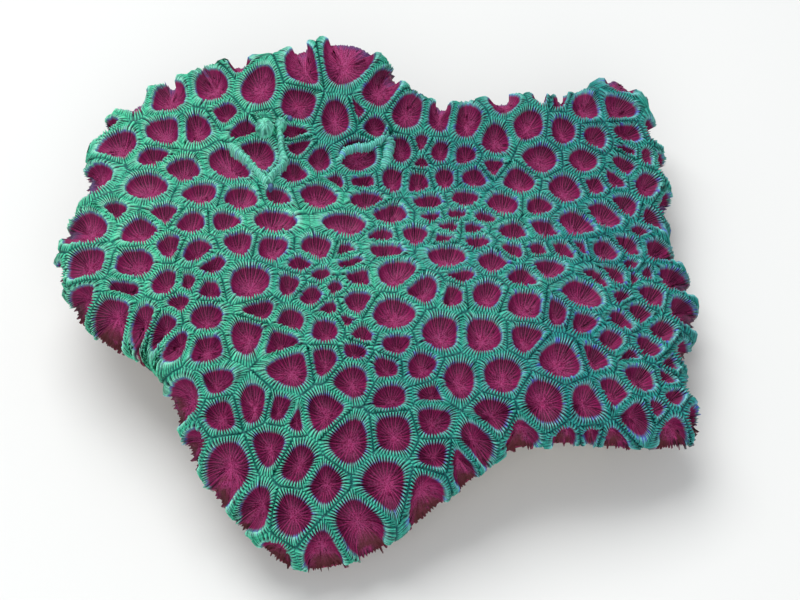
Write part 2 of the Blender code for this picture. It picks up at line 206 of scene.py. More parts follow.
# %% List the polyps
# x, y and the radius of the room each takes, in mm
CORALLITES = [
    # back left
    (-32.7, 47.3, 4.4), (-35.7, 37.5, 3.9), (-41.9, 37, 4.6), (-30.1, 41, 3),
    (-28.2, 28.1, 5.3), (-43.6, 30.2, 3.2), (-37.3, 25.2, 4.2), (-43.3, 20.4, 4.8),
    (-50.4, 34, 4.6), (-55.2, 25, 5), (-48.8, 46.8, 4.2),
    (-41.8, 45.8, 4.5), (-27.7, 51, 2.6), (-23.6, 46, 5),
    (-25.8, 36.3, 3.6), (-23.7, 31.1, 5.2), (-54.5, 40.5, 3.2), (-22.3, 38.8, 2.3),
    # back
    (-14.3, 49.5, 5), (-6.5, 51, 6), (0.3, 46, 4.8), (5.8, 42, 4.5),
    (12.4, 41.2, 4), (17.7, 40, 4.2), (-15.7, 42.6, 4.7),
    (-8.2, 39.9, 4.3), (-3.7, 41.4, 2.5), (-0.6, 38.9, 3.2), (-16.3, 36.9, 3.1),
    (-15.3, 34, 2.9), (-11.5, 31.2, 3.3), (-3.8, 32.6, 4.7), (4.8, 34.7, 3.4),
    (8.7, 36.2, 2.7), (8.9, 32.1, 2.2), (12.3, 34.4, 3.2), (17.4, 33.5, 3.4),
    (-15.8, 27.6, 3.2), (-8, 26.3, 2.2), (-2.6, 27.3, 3.3), (3, 27.9, 3.4),
    (8.1, 27.4, 3.4), (13.2, 28.5, 3.3), (18.9, 28.5, 3.7),
    # back right
    (29.9, 39.5, 4.1), (37, 38.7, 3.8), (23.1, 36.8, 4), (22.5, 30.9, 3),
    (32.1, 32.7, 4.3), (40.7, 33, 4.1), (42.9, 38.2, 3.4), (41.3, 44.5, 3.8),
    (36.3, 46, 3), (33, 46.5, 2.5), (25.5, 44.5, 3.6), (48.6, 45.6, 3.9),
    (49, 51.8, 2.8), (50.2, 40.9, 3.5), (50, 36.8, 2.7), (53.5, 36.6, 2.5),
    (49, 33.2, 3.5), (58, 37, 3.2), (55.5, 43, 2.8),
    # left
    (-33.3, 18.2, 4.2), (-25.7, 17.5, 4.3), (-49.2, 13.5, 2.5), (-39.5, 11.3, 3.2),
    (-34.3, 9, 3.7), (-28, 9.7, 3.6), (-43.6, 7.1, 4.3), (-54, 9.5, 5),
    (-37.9, 3, 3.5), (-32.7, 1.6, 3.9), (-25, 4.2, 3.9), (-43.8, -0.5, 4.5),
    (-53.3, 0.8, 4.8), (-29.9, -1.6, 3.3), (-37.9, -5.4, 3.4), (-33.9, -5.8, 2.8),
    (-29.9, -7.5, 3.2), (-22.7, -5.7, 5), (-35, -9.9, 3), (-45.5, -6.4, 3.5),
    (-54.3, -6.5, 4.5), (-60.5, 1.5, 3), (-47.5, -11.5, 5.2), (-41.7, -13.1, 4),
    (-37.6, -14.9, 3.9), (-34.8, -17.8, 3.6), (-30.3, -13.4, 4.2), (-29.9, -19.2, 3.9),
    (-22.5, -17, 4.2), (-20.7, -12, 3.6), (-27.9, -26.3, 3.5), (-33.4, -28.5, 4.4),
    (-26.8, -31.9, 3.9), (-21, -30.4, 3.9),
    # middle
    (-19, 19.5, 2.9), (-11.1, 21.8, 4.4), (-2, 21.7, 3.9), (2.5, 17, 4.3),
    (-5.5, 12.5, 4.9), (1, 9.1, 3.2), (7.5, 9.9, 3.6), (1.8, 4, 3.5),
    (-6.2, 3.3, 2.9), (-4.6, 0.1, 3.1), (-10.7, 3.9, 4.1), (-13.5, -0.4, 3),
    (-19.3, 11.2, 4.7), (-19.2, 3.6, 4), (-9.9, -3.6, 2.8), (-2.9, -3.8, 3.5),
    (3.7, -2.8, 5), (8.6, -6.7, 4.6), (-7.4, -6.6, 2.7), (-15.5, -6.2, 3.3),
    (-11.4, -8.4, 3.2), (-3.1, -10.1, 3.8), (-8, -11.6, 2.7), (3.5, -12.9, 5),
    (13.4, 2.6, 4.6), (15.6, -3, 3.2), (13.7, -7.9, 3.5), (20.2, -7.6, 4.1),
    (10.1, 21.7, 3.4), (17.2, 22.9, 3.6), (10.6, 16.8, 2.5), (15.4, 17.5, 2.8),
    (20.6, 16.4, 3), (14, 12.7, 3), (18.2, 12.7, 2.8), (12.6, 8.6, 2.9),
    (18.9, 7.5, 3), (21.5, 1.5, 3.9),
    # right
    (27.7, 27.4, 4.2), (24.3, 21.1, 4.3), (31.2, 20.5, 3.6), (36.7, 26, 4.4),
    (42.6, 27.9, 3.2), (46.9, 29.9, 3.2), (53.2, 30, 4), (48.3, 23.7, 3.8),
    (44, 20, 4.5), (38.2, 16, 4.7), (32.2, 13.2, 3.8), (25.9, 11.6, 3.8),
    (25.4, 5.2, 3.1), (30.4, 6, 3), (34.7, 7, 3.2), (38.4, 8.7, 2.4),
    (43.4, 9, 3.8), (48.1, 12.1, 3.6), (53.3, 22.3, 2.8), (50.7, 17, 2.2),
    (58, 27.5, 3.8), (54, 13, 3.8), (56.3, 5.3, 4.2), (48, 6.7, 2.5),
    (51.2, 5.1, 2.5), (47.9, 2.3, 2.3), (44.5, 2.2, 3.2), (40.9, -0.3, 3.3),
    (31.9, 1, 3.7), (26.7, -2.6, 3.4), (37.9, -5.2, 5), (27, -9.8, 4.5),
    (32.9, -10.7, 3.6), (37.5, -11.9, 3.7), (44.7, -9.7, 3.2), (48.4, -6.7, 3.6),
    (45.3, -3.6, 2.6), (51.7, -0.8, 4), (57, -2, 4.2), (52.3, -9.6, 3.6),
    (57, -12, 3),
    # front right
    (19.2, -17.4, 4.7), (26.9, -17.5, 3.9), (32.7, -21.7, 5.2), (22.5, -25.5, 4.9),
    (39, -20, 3.5), (42.5, -15.2, 3.5), (45.6, -17.6, 2.8), (49.3, -14.7, 3.4),
    (47.3, -22.4, 4.1), (51.5, -21.4, 2.8), (53, -17.2, 2.3), (53.2, -24.8, 2.8),
    (58.5, -27.5, 4), (58, -19.5, 2.8), (42.3, -26.6, 3.8), (37, -29, 4.5),
    (29.6, -29.5, 5.2), (20.8, -32.3, 4.3), (18, -36.8, 4.2), (25.9, -35, 3.8),
    (33.8, -35.3, 2.8), (38.2, -34.5, 2.6), (42, -35, 3), (45.8, -30.1, 3.7),
    (49.5, -28.2, 2.7), (53.2, -31, 3.4),
    # front
    (-15, -14.4, 3.5), (-8.6, -16.4, 3.5), (-5.1, -14.3, 2.4), (-2.3, -17.5, 2.9),
    (3.9, -19.4, 3.7), (11.6, -17.1, 4.8), (-16.5, -18.8, 3.8), (-14.8, -23.8, 4.5),
    (-8.7, -22.6, 3.6), (-3.5, -20.9, 3.1), (2.1, -24.1, 3.4), (8.3, -23.7, 4),
    (14.8, -26.3, 4.4), (-4, -26.4, 4.2), (2.8, -29.6, 3.9), (10, -29, 3.3),
    (-16.8, -31.2, 3.4), (-13.6, -33, 2.7), (-8.3, -31.9, 4.4), (-4.2, -36.5, 5),
    (3.3, -35.6, 4.8), (9.9, -33.5, 3.9), (-17.9, -37.3, 4.2), (-13, -40.1, 4.2),
    (-8.5, -43.1, 4), (1.9, -43.3, 5.2), (-14, -47.9, 4.3), (-2.5, -49.5, 5),
    (-8.6, -54, 4.2), (-17.8, -54, 3.4), (-19.9, -46.6, 3.9), (9.3, -45, 4.6),
    (10.3, -39.4, 3.8), (15.5, -40.2, 3.7), (-25.5, -40.5, 5.4), (-32, -36, 3.6),
]
# rooms at the lip end at ghosts: polyps mirrored in it, and a ring of plain ones farther out
MIRROR_DEPTH = 14.0
RING_DISTANCE = 11.0
RING_RADIUS = 4.0
RING_EVERY = 3
RING_SLACK = 0.5
ROOM_LIMIT = 20.0
NEIGHBOURS = 60
print("polyps listed:", len(CORALLITES))

# %% Cut one polyp's room
def ghosts_of(centres, radii):
    """Centres and radii of the ghosts that bound the outer rooms at the lip."""
    inside, outward = edge_distance(centres)
    to_lip = inside + LIP_REACH
    near = to_lip < MIRROR_DEPTH
    mirrored = centres[near] + outward[near] * 2 * to_lip[near, None]
    out = left_of(np.roll(EDGE, -1, 0) - np.roll(EDGE, 1, 0))
    ring = (EDGE + out * (LIP_REACH + RING_DISTANCE))[::RING_EVERY]
    ring = ring[edge_distance(ring)[0] < RING_SLACK - LIP_REACH - RING_DISTANCE]
    ghost_radii = np.concatenate([radii[near], np.full(len(ring), RING_RADIUS)])
    return np.vstack([mirrored, ring]), ghost_radii


def cell_of(index, centres, radii):
    """Corners of the room of one polyp, bounded by its neighbours' rooms."""
    centre, weight = centres[index], radii[index] ** 2
    corners = [centre + ROOM_LIMIT * np.array(c) for c in SQUARE]
    offsets = centres - centre
    distances = (offsets**2).sum(1)
    for other in np.argsort(distances)[1:NEIGHBOURS]:
        limit = (distances[other] + weight - radii[other] ** 2) / 2
        over = [float((c - centre) @ offsets[other]) - limit for c in corners]
        kept = []
        for k, corner in enumerate(corners):
            after = (k + 1) % len(corners)
            if over[k] <= 0:
                kept.append(corner)
            if (over[k] <= 0) != (over[after] <= 0):
                share = over[k] / (over[k] - over[after])
                kept.append(corner + (corners[after] - corner) * share)
        corners = kept
    return np.array(corners)


# %% Grow the colony
centres = np.array([c[:2] for c in CORALLITES], float)
radii = np.array([c[2] for c in CORALLITES])
ghosts, ghost_radii = ghosts_of(centres, radii)
all_centres = np.vstack([centres, ghosts])
all_radii = np.concatenate([radii, ghost_radii])
rooms = [cell_of(i, all_centres, all_radii) for i in range(len(centres))]
print("polyps in all:", len(rooms))

# %% [markdown]
# ## One network of walls
# Neighbouring rooms have to share their walls exactly, or cracks would show. Laying all rooms in
# one BMesh and joining corners that nearly touch gives a network in which each wall is one edge,
# and an edge with a room on one side only is part of the lip.

# %% Join the rooms
SHORTEST_SIDE = 0.7


def sides_of(room):
    """A room's sides: the corners at both ends, and the wall, which both its rooms name alike."""
    return [(a, b, (min(a, b), max(a, b))) for a, b in zip(room, room[1:] + room[:1])]


sketch = bmesh.new()
number = sketch.faces.layers.int.new("room")
for i, room in enumerate(rooms):
    sketch.faces.new([sketch.verts.new((x, y, 0)) for x, y in room])[number] = i
bmesh.ops.remove_doubles(sketch, verts=sketch.verts, dist=SHORTEST_SIDE)
sketch.verts.index_update()
corners = np.array([v.co[:2] for v in sketch.verts], float)
cells = [[v.index for v in face.verts] for face in sketch.faces]
polyp_of = [face[number] for face in sketch.faces]
lip_walls = {tuple(sorted(v.index for v in e.verts)) for e in sketch.edges if e.is_boundary}
on_lip = sorted({corner for wall in lip_walls for corner in wall})
wall_ends = {v.index for v in sketch.verts if v.is_boundary and len(v.link_faces) > 1}
sketch.free()
inside, outward = edge_distance(corners[on_lip])
corners[on_lip] += outward * (inside + LIP_REACH)[:, None]
print("rooms:", len(cells), "corners:", len(corners), "walls on the lip:", len(lip_walls))

# %% [markdown]
# ## Ribs set out along each wall
# The ribs, called septa, cross a wall about every 0.6 mm and run down into the pit on each side.
# On a real colony the ribs of two neighbours interlock like a zip, with a thin dark groove that
# zigzags between them. So each wall is divided into an even number of steps of half a rib, and
# the ribs of one side stand where the other side has its gaps.

# %% Divide the walls
RIB_SPACING = 0.6
GROOVE_ZIGZAG = 0.2
LIP_RAGGED = 0.4
SEED = 7

rng = np.random.default_rng(SEED)
beads = [tuple(c) for c in corners]
bead_rows = {}
first_owner = {}
for cell, room in enumerate(cells):
    for _, _, wall in sides_of(room):
        if wall in bead_rows:
            continue
        start, run = corners[wall[0]], corners[wall[1]] - corners[wall[0]]
        length = np.linalg.norm(run)
        steps = 2 * max(1, round(length / RIB_SPACING))
        turns = np.arange(1, steps)
        line = start + run * (turns / steps)[:, None]
        if wall in lip_walls:
            inside, outward = edge_distance(line)
            ragged = rng.uniform(-LIP_RAGGED, LIP_RAGGED, len(turns))
            line = line + outward * (inside + LIP_REACH + ragged)[:, None]
        else:
            across = np.array([-run[1], run[0]]) / length
            line = line + across * (GROOVE_ZIGZAG * (-1.0) ** turns)[:, None]
        bead_rows[wall] = [wall[0], *range(len(beads), len(beads) + steps - 1), wall[1]]
        beads.extend(tuple(p) for p in line)
        first_owner[wall] = cell
beads = np.array(beads)
print("points along the walls:", len(beads))

# %% Walk round each room
# where a wall ends at the lip it is whole up to the first distance, and gone at the second, in mm
TIP_WIDTH = (0.5, 1.3)
FAR_AWAY = 9


def walk(cell):
    """Bead numbers round a room, how far each is a rib, and how open the room is there."""
    numbers, ribs, open_here = [], [], []
    sides = sides_of(cells[cell])
    on_even = [first_owner[wall] != cell for _, _, wall in sides]
    for side, (a, b, wall) in enumerate(sides):
        row = bead_rows[wall] if a < b else bead_rows[wall][::-1]
        steps = len(row) - 1
        ends = [steps * (end == b) for end in (a, b) if end in wall_ends]
        at_corner = (on_even[side] + on_even[side - 1]) / 2
        for k in range(steps):
            numbers.append(row[k])
            ribs.append(float((k % 2 == 0) == on_even[side]) if k else at_corner)
            from_wall = min([FAR_AWAY] + [abs(k - end) for end in ends])
            spread = (from_wall * RIB_SPACING / 2 - TIP_WIDTH[0]) / (TIP_WIDTH[1] - TIP_WIDTH[0])
            open_here.append(min(max(spread, 0.0), 1.0) if wall in lip_walls else 0.0)
    return np.array(numbers), np.array(ribs), np.array(open_here)


print("ribs round the first room:", int(walk(0)[1].sum()))

# %% [markdown]
# ## The shape of a wall and its pit
# Seen across a wall, the surface climbs from the groove to a rounded crest and then drops steeply
# to the floor. Each room is built from rings that shrink towards its middle along straight rays,
# so that the ribs run down the slope as on the real skeleton. A ring stays inside all walls at
# once: adding the walls' limits with a high power rounds its corners, as pits are rounded.

# %% Say how wide walls and pits are
# half a wall's width, how far it varies, and how much of a narrow room it may fill
WALL_HALF = 0.57
WALL_VARIES = (0.88, 1.12)
WALL_SHARE = 0.36
NARROW_PERCENT = 10
# how far teeth reach into the pit, and how far the gaps between them are cut back, in mm
TOOTH, NOTCH = 0.12, 0.5
PIT_LIMIT = 1.2
ROUNDING = 3.8
LEAST_ROOM = 1.2
LEAST_PIT, LEAST_WALL, LEAST_CREST = 0.3, 0.25, 0.2
OPEN_EASING = 6


def middle_of(around, centre):
    """The polyp's own centre, or its room's middle where that centre is close to a wall."""
    out = -left_of(np.roll(around, -1, 0) - around)
    to_walls = ((around - centre) * out).sum(1)
    return centre if to_walls.min() > LEAST_ROOM else around.mean(0)


def pit_edge(room, around, closed, radius, wall_half):
    """Radius of the pit's edge along each ray from the room's middle."""
    out = -left_of(np.roll(around, -1, 0) - around)
    to_walls = ((around - room.middle) * out).sum(1)
    facing = np.maximum(room.rays @ out.T, 0)
    limits = facing / np.maximum(to_walls - wall_half, LEAST_PIT)
    total = (limits[:, closed] ** ROUNDING).sum(1) + TINY
    total += (1 - room.opened) * (1 / (PIT_LIMIT * radius)) ** ROUNDING
    edge = np.minimum(total ** (-1 / ROUNDING), room.reach - LEAST_WALL)
    return edge if closed.all() else eased(edge, OPEN_EASING)


print("half a wall is", WALL_HALF, "mm wide")

# %% Set the rings
# share of the way from groove to pit edge, and height on a rib and in a gap, in mm
WALL_RINGS = [(0.14, 0.42, 0.0), (0.48, 0.56, 0.2), (0.84, 0.66, 0.0), (1.0, 0.4, -0.5)]
GROOVE_RISE = 0.02
# inward is in mm from the pit's edge, or most as a share of the radius where that is less. large says
# how far only every other rib is left, torn how ragged the lip is, depth is what the colours read,
# and knob is the height under the knob as a share of its own
Slope = namedtuple("Slope", "inward most rib gap large torn depth knob")
SLOPE_RINGS = [
    Slope(0.4, 0.2, -0.25, -0.9, 0.0, 1.0, 0.25, 0.8),
    Slope(1.0, 0.45, -1.0, -1.5, 0.7, 0.4, 0.5, 1.1),
]
# share is of the last slope ring's radius, and grainy says how far the ribs break up into grains
Floor = namedtuple("Floor", "share rib gap grainy torn depth knob")
FLOOR_RINGS = [
    Floor(0.78, -1.4, -1.8, 0.3, 1.0, 0.6, 1.2),
    Floor(0.58, -1.65, -2.05, 0.6, 0.8, 0.7, 1.3),
    Floor(0.4, -1.85, -2.15, 0.85, 0.4, 0.82, 1.4),
    Floor(0.22, -1.95, -2.1, 1.0, 0.0, 0.92, 1.45),
]
FLOOR_MIDDLE = -2.0
# pits of the usual radius are this deep, and others are shallower or deeper within these shares
USUAL_PIT, DEPTH_VARIES = 2.3, (0.5, 1.1)
BUMPS, GAP_BUMPS = 0.14, 0.3
FLOOR_GRAIN, SPOKE_GRAIN = 0.07, 0.4
# the ragged flesh at the lip
OPEN_RISE, OPEN_RIB, OPEN_GRAIN, OPEN_BLEND = -0.2, 0.6, 0.22, 0.7
OPEN_SLOPE_FALL, OPEN_FLOOR_FALL = 0.15, 0.5
# the small room under the knob is filled
KNOB_AT, KNOB_NEAR = (-22.3, 38.8), 1.5
KNOB_RISE, KNOB_LIFT, KNOB_TOP = 1.3, 0.5, 1.5
KNOB_SLOPE_RIB, KNOB_FLOOR_RIB = 0.4, 0.25
KNOB_ACROSS = 0.3
print("rings in a room:", len(WALL_RINGS) + len(SLOPE_RINGS) + len(FLOOR_RINGS))

# %% [markdown]
# ## Walls that stand up
# A few walls near the back stand well above their neighbours: the arms of a V, and a torn flap that
# ends in a spike. They are part of the same network, so instead of separate pieces the wall tops
# are lifted there by smooth bumps.

# %% List the tall walls
# x, y, extra height and reach in mm
TALL_WALLS = [
    (-27.6, 32.2, 0.4, 1.2), (-25.8, 29.5, 0.5, 1.2), (-23.9, 26.9, 0.5, 1.2),
    (-21.5, 24.2, 0.5, 1.2), (-19.6, 27.4, 0.5, 1.2), (-18.1, 31.0, 0.6, 1.2),
    (-19.0, 34.2, 0.6, 1.2), (-19.8, 36.4, 0.8, 1.2), (1.9, 38.2, 2.6, 0.9),
    (2.0, 35.9, 1.4, 1.3), (1.0, 33.6, 0.8, 1.6), (-3.0, 36.3, 0.9, 2.4),
]
# the extra height is full from this share of the wall on
FULL_HEIGHT_AT = 0.625


def taller(points):
    """Extra height of the wall tops at each flat point."""
    extra = np.zeros(len(points))
    for x, y, rise, reach in TALL_WALLS:
        away = (points[:, 0] - x) ** 2 + (points[:, 1] - y) ** 2
        extra += rise * np.exp(-0.5 * away / reach**2)
    return extra


print("tall walls:", len(TALL_WALLS))

# %% [markdown]
# ## From rings to surfaces
# A surface gathers rows of points with their heights and named values, and the faces between them.
# BMesh could do that as well, but with a quarter of a million points plain arrays are far quicker.

# %% Gather the surfaces
class Surface:
    """Flat points, rises, faces and named values of one piece, gathered room by room."""

    def __init__(self, *names):
        self.points, self.rises, self.faces = [], [], []
        self.values = {name: [] for name in names}
        self.count = 0

    def put(self, points, rises, **values):
        """Adds a row of points and returns their numbers."""
        self.points.append(points)
        self.rises.append(np.broadcast_to(rises, len(points)))
        for name, value in values.items():
            self.values[name].append(np.broadcast_to(value, len(points)))
        self.count += len(points)
        return np.arange(self.count - len(points), self.count)

    def join(self, *rows):
        """One face for each place along rows of equal length."""
        self.faces.extend(np.column_stack(rows).tolist())

    def band(self, outer, inner):
        """Faces between two rings, of which the inner may have half as many points."""
        if len(outer) == len(inner):
            self.join(outer, np.roll(outer, -1), np.roll(inner, -1), inner)
            return
        a, b, c = outer[::2], outer[1::2], np.roll(outer, -2)[::2]
        after = np.roll(inner, -1)
        self.join(a, b, inner)
        self.join(b, c, after)
        self.join(b, after, inner)

    def fan(self, ring, middle):
        """Faces between a ring and one point."""
        self.join(ring, np.roll(ring, -1), np.repeat(middle, len(ring)))


walls = Surface("rib", "across", "flesh", "tone")
left_discs = Surface("rib", "depth", "tone", "torn")
right_discs = Surface("rib", "depth", "tone", "torn")
walls.put(beads, GROOVE_RISE, rib=0.4, across=0.0, flesh=0.0, tone=0.5)
groove_rise, groove_flesh = np.full(len(beads), GROOVE_RISE), np.zeros(len(beads))
print("groove points:", walls.count)

# %% Measure one room
def between(ribs, on_rib, in_gap):
    """A value for each point, by how far it is a rib."""
    return in_gap + (on_rib - in_gap) * ribs


class Room:
    """The rays from one room's middle, its pit's edge, and what varies from ray to ray."""

    def __init__(self, cell):
        self.numbers, self.ribs, self.opened = walk(cell)
        around = corners[cells[cell]]
        polyp = polyp_of[cell]
        self.middle = middle_of(around, centres[polyp])
        self.reach = np.linalg.norm(beads[self.numbers] - self.middle, axis=1)
        self.rays = (beads[self.numbers] - self.middle) / self.reach[:, None]
        narrow = WALL_SHARE * np.percentile(self.reach, NARROW_PERCENT)
        wall_half = min(WALL_HALF * rng.uniform(*WALL_VARIES), narrow)
        closed = np.array([wall not in lip_walls for _, _, wall in sides_of(cells[cell])])
        edge = pit_edge(self, around, closed, radii[polyp], wall_half)
        toothed = edge + between(self.ribs, -TOOTH, NOTCH) * (1 - self.opened)
        self.edge = np.minimum(toothed, self.reach - LEAST_CREST)
        self.size = np.clip(self.edge.mean() / USUAL_PIT, *DEPTH_VARIES)
        self.bumpy = rng.normal(0, BUMPS, len(self.ribs)) * (GAP_BUMPS + self.ribs)
        self.tone = rng.uniform(0, 1, len(self.ribs))
        self.ragged = OPEN_RISE + between(self.ribs, OPEN_RIB / 2, -OPEN_RIB / 2) + 2 * self.bumpy
        self.large = self.ribs * (np.arange(len(self.ribs)) // 2 % 2)
        self.knob = np.linalg.norm(self.middle - KNOB_AT) < KNOB_NEAR
        discs = left_discs if self.middle[0] < 0 else right_discs
        self.surface = walls if self.knob else discs

    def ring(self, radius, every=1):
        """Flat points at a radius along every ray, or along every other one."""
        return self.middle + self.rays[::every] * radius[::every, None]

    def put(self, ring, rise, on_knob, ribs, depth, tone, opened):
        """Adds a row of the pit's flesh, or of green tissue at its own height under the knob."""
        if self.knob:
            return walls.put(ring, on_knob, rib=ribs, across=KNOB_ACROSS, flesh=0.0, tone=tone)
        return self.surface.put(ring, rise, rib=ribs, depth=depth, tone=tone, torn=opened)


print("points round the first room:", len(walk(0)[0]))

# %% Raise the walls
def raise_wall(room):
    """Adds a room's half of its walls, and returns the last ring's numbers, points and heights."""
    previous = room.numbers
    for share, on_rib, in_gap in WALL_RINGS:
        ring = room.ring(room.reach - share * (room.reach - room.edge))
        extra = taller(ring) * min(share / FULL_HEIGHT_AT, 1)
        rise = between(room.ribs, on_rib, in_gap) + room.bumpy + extra
        rise = rise + (room.ragged - rise) * room.opened
        if room.knob:
            rise = rise + KNOB_RISE * share * KNOB_LIFT
        here = walls.put(ring, rise, rib=room.ribs, across=share, flesh=room.opened, tone=room.tone)
        walls.band(previous, here)
        previous = here
    return previous, ring, rise


print("rings in a wall:", len(WALL_RINGS))

# %% Sink the pits
def sink_slope(room, previous):
    """Adds the steep rings under the pit's edge, and returns the last one's numbers and radii."""
    for k, step in enumerate(SLOPE_RINGS):
        radius = room.edge - np.minimum(step.inward, room.edge * step.most)
        spokes = room.ribs + (room.large - room.ribs) * step.large
        spokes = spokes + (room.tone - spokes) * room.opened * OPEN_BLEND
        rise = between(spokes, step.rib, step.gap) * room.size + room.bumpy / 2
        rise = rise + (room.ragged - OPEN_SLOPE_FALL * k - rise) * room.opened * step.torn
        on_knob = KNOB_RISE * step.knob + KNOB_SLOPE_RIB * room.ribs + room.bumpy
        ribs = room.ribs if room.knob else spokes
        here = room.put(room.ring(radius), rise, on_knob, ribs, step.depth, room.tone, room.opened)
        room.surface.band(previous, here)
        previous = here
    return previous, radius


def lay_floor(room, previous, inner):
    """Adds the floor's rings, of which the last has half as many points, and its middle."""
    for k, step in enumerate(FLOOR_RINGS):
        every = 2 if step is FLOOR_RINGS[-1] else 1
        spokes, tone = room.large[::every], room.tone[::every]
        opened = room.opened[::every] * step.torn
        grain = rng.normal(0, 1, len(spokes))
        grains = np.clip(SPOKE_GRAIN + SPOKE_GRAIN * grain, 0, 1)
        spokes = spokes + (grains - spokes) * np.maximum(step.grainy, opened)
        rise = between(spokes, step.rib, step.gap) * room.size
        rise = rise + grain * between(opened, OPEN_GRAIN, FLOOR_GRAIN)
        rise = rise + (OPEN_RISE - OPEN_FLOOR_FALL * (k + 1) - rise) * opened * OPEN_BLEND
        on_knob = KNOB_RISE * step.knob + KNOB_FLOOR_RIB * spokes
        ring = room.ring(inner * step.share, every)
        here = room.put(ring, rise, on_knob, spokes, step.depth, tone, opened)
        room.surface.band(previous, here)
        previous = here
    heights = FLOOR_MIDDLE * room.size, KNOB_RISE * KNOB_TOP
    room.surface.fan(previous, room.put(room.middle[None], *heights, 0.5, 1.0, 0.5, 0.0))


for cell in range(len(cells)):
    room = Room(cell)
    groove_rise[room.numbers] = between(room.opened, OPEN_RISE, GROOVE_RISE)
    groove_flesh[room.numbers] = np.maximum(groove_flesh[room.numbers], room.opened)
    last, ring, rise = raise_wall(room)
    if not room.knob:
        last = room.put(ring, rise, None, room.ribs, 0.0, room.tone, room.opened)
    lay_floor(room, *sink_slope(room, last))
walls.rises[0] = groove_rise
walls.values["flesh"][0] = groove_flesh
print("wall points:", walls.count, "disc points:", left_discs.count + right_discs.count)

# %% [markdown]
# ## Rims that stand free
# Near the back one polyp's walls flare up into a ribbed V with a knob at its head, and a wall nearby
# ends in a spike. A curve with a bevel would give a smooth pipe, but ribs have to cross these rims as
# they cross every wall. So each rim is an arch swept along a few points, and every second section of
# it is a rib. The knobs are turned in the same way.

# %% Sweep the rims
# x, y, height above the plate and half the width, in mm
RIMS = [
    # left and right arm of the V
    [(-28.8, 33.4, 0.6, 0.4), (-28.2, 32.0, 1.8, 0.8), (-26.9, 30.5, 2.0, 0.7), (-25.2, 28.5, 2.0, 0.5),
     (-23.4, 26.0, 2.0, 0.45), (-22.1, 23.9, 2.0, 0.5), (-21.1, 22.6, 2.0, 0.6)],
    [(-19.2, 37.4, 2.2, 0.6), (-19.1, 34.9, 2.1, 0.5), (-18.9, 32.7, 2.0, 0.5), (-18.2, 30.4, 2.3, 0.8),
     (-18.6, 28.3, 2.2, 0.7), (-19.9, 26.3, 2.0, 0.45), (-20.6, 24.2, 2.0, 0.5), (-21.1, 22.6, 2.0, 0.6)],
    # the wall that rises to the spike, and the flap below it
    [(-7.8, 31.4, 0.4, 0.5), (-6.5, 33.6, 1.4, 0.7), (-4.1, 34.5, 1.5, 0.7), (-1.6, 34.9, 1.6, 0.7),
     (0.6, 35.9, 2.4, 0.6), (2.1, 36.6, 3.6, 0.15)],
    [(2.1, 36.9, 3.0, 0.2), (2.5, 35.5, 2.3, 0.9), (1.9, 32.9, 1.7, 1.0), (1.2, 30.4, 0.5, 0.6)],
]
# across the rim, in half widths, and the share of its height
HALF_ARCH = [(0.3, 1.0), (0.8, 0.75), (1.0, 0.3), (0.9, -0.4)]
ARCH = [(-offset, lift) for offset, lift in HALF_ARCH[::-1]] + HALF_ARCH
RIM_EASING = 7
RIM_RIB_SPACING = 0.42
RIM_WANDER, RIM_UNEVEN = 0.13, 0.07
# on a rib and in a gap: the width, the height and the value that the colours read
RIM_WIDE, RIM_HIGH, RIM_RIB = (1.1, 0.88), (1.04, 0.93), (1.0, 0.6)
# the place on the wall that the colours read, at the rim's side and along its top
RIM_ACROSS = (0.9, 0.65)

rims = Surface("rib", "across", "flesh", "tone", "violet")
rim_rng = np.random.default_rng(SEED)


def build_rim(points):
    """Sweeps one ribbed arch along a path."""
    path = np.array(points)
    lengths = np.concatenate([[0], np.cumsum(np.hypot(*np.diff(path[:, :2], axis=0).T))])
    at = np.linspace(0, lengths[-1], 2 * round(lengths[-1] / RIM_RIB_SPACING) + 1)
    rows = np.column_stack([np.interp(at, lengths, column) for column in path.T])
    for _ in range(RIM_EASING):
        rows[1:-1] = rows[1:-1] / 2 + (rows[:-2] + rows[2:]) / 4
    side = left_of(np.gradient(rows[:, :2], axis=0))
    ribs = np.arange(len(rows)) % 2
    tone = rim_rng.uniform(0, 1, len(rows))
    uneven = rim_rng.normal(1, RIM_UNEVEN, len(rows))
    middle = rows[:, :2] + side * rim_rng.normal(0, RIM_WANDER, len(rows))[:, None]
    look = {"rib": between(ribs, *RIM_RIB), "flesh": 0.0, "tone": tone, "violet": 0.0}
    lines = []
    for offset, lift in ARCH:
        grain = uneven * rim_rng.normal(1, RIM_UNEVEN, len(rows))
        wide = rows[:, 3] * offset * between(ribs, *RIM_WIDE) * grain
        rise = rows[:, 2] * lift * between(ribs, *RIM_HIGH) * grain
        across = between(abs(offset), *RIM_ACROSS)
        lines.append(rims.put(middle + side * wide[:, None], rise, across=across, **look))
    for right, left in zip(lines, lines[1:]):
        rims.join(right[:-1], right[1:], left[1:], left[:-1])
    rims.faces.append([int(line[0]) for line in lines])
    rims.faces.append([int(line[-1]) for line in lines[::-1]])


for points in RIMS:
    build_rim(points)
print("rim points:", rims.count)

# %% Turn the knobs
# x, y, radius, height above the plate in mm, and how violet it is
KNOBS = [
    (-22.1, 36.7, 1.7, 3.4, 0.0), (-19.0, 37.8, 1.1, 2.8, 0.0),
    (-20.5, 22.0, 0.5, 1.3, 0.8), (-17.2, 39.4, 0.5, 1.0, 0.8),
]
# share of the radius and of the height
DOME = [(0.95, -0.3), (1.06, 0.3), (1.0, 0.6), (0.8, 0.84), (0.5, 0.96), (0.22, 1.0)]
DOME_TOP = 1.02
WART_RIB, WART_RISE, WART_UNEVEN = (0.5, 1), (1.04, 0.94), 0.01
WART_ACROSS, TOP_LOOK = 0.75, {"rib": 0.6, "across": 0.7, "tone": 0.5}


